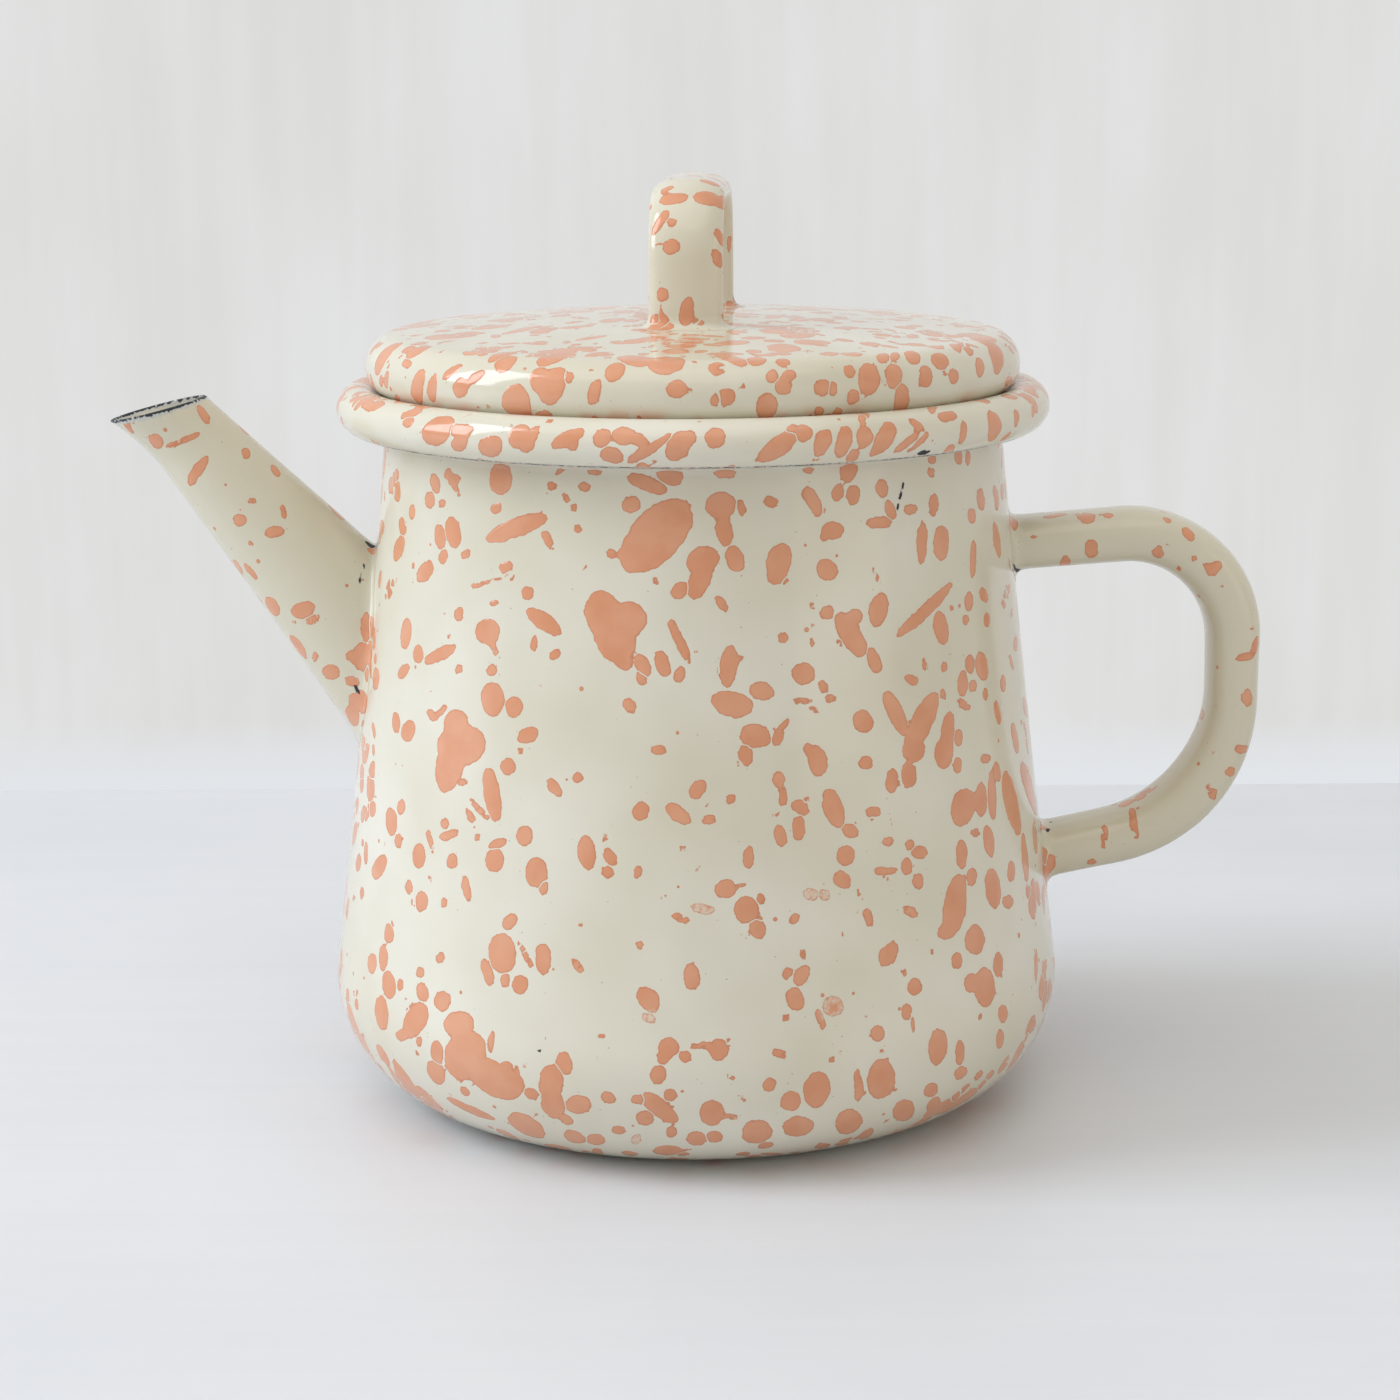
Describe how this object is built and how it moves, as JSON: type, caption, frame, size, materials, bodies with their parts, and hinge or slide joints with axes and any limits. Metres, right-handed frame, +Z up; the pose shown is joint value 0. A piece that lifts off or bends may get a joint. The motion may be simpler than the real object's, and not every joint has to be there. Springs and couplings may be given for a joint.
{
  "type": "coffee pot",
  "caption": "Squat enamelled steel coffee pot with a rolled rim, a slanted spout, a D-shaped strap handle and a low lift-off lid with an arched strap on top.",
  "frame": {"origin": "centre of the foot ring, on the surface that the pot stands on, on the pot's upright axis", "axes": "+Z up along the pot's axis, -X towards the spout, +X towards the handle, +Y away from the viewer"},
  "size_m": [0.2032, 0.13, 0.1629],
  "materials": {
    "enamel_body": "glossy cream vitreous enamel on steel, with salmon splatter",
    "enamel_spout": "glossy cream vitreous enamel on steel, with sparse salmon splatter",
    "enamel_handle": "glossy cream vitreous enamel on steel, with sparse salmon splatter",
    "enamel_lid": "glossy cream vitreous enamel on steel, with dense salmon splatter",
    "enamel_strap": "glossy cream vitreous enamel on steel, with salmon splatter"
  },
  "bodies": {
    "pot": {"pot_wall": "enamel_body", "pot_base": "enamel_body", "spout_tube": "enamel_spout", "spout_collar": "enamel_spout", "handle_strap": "enamel_handle", "handle_weld_upper": "enamel_handle", "handle_weld_lower": "enamel_handle"},
    "lid": {"lid_cap": "enamel_lid", "lid_collar": "enamel_lid", "lid_strap": "enamel_strap", "lid_strap_weld_front": "enamel_strap", "lid_strap_weld_back": "enamel_strap"}
  },
  "joints": [
    {"name": "lid_lift", "type": "slide", "parent": "pot", "child": "lid", "axis": [0, 0, 1], "range_m": [0, 0.12]}
  ]
}
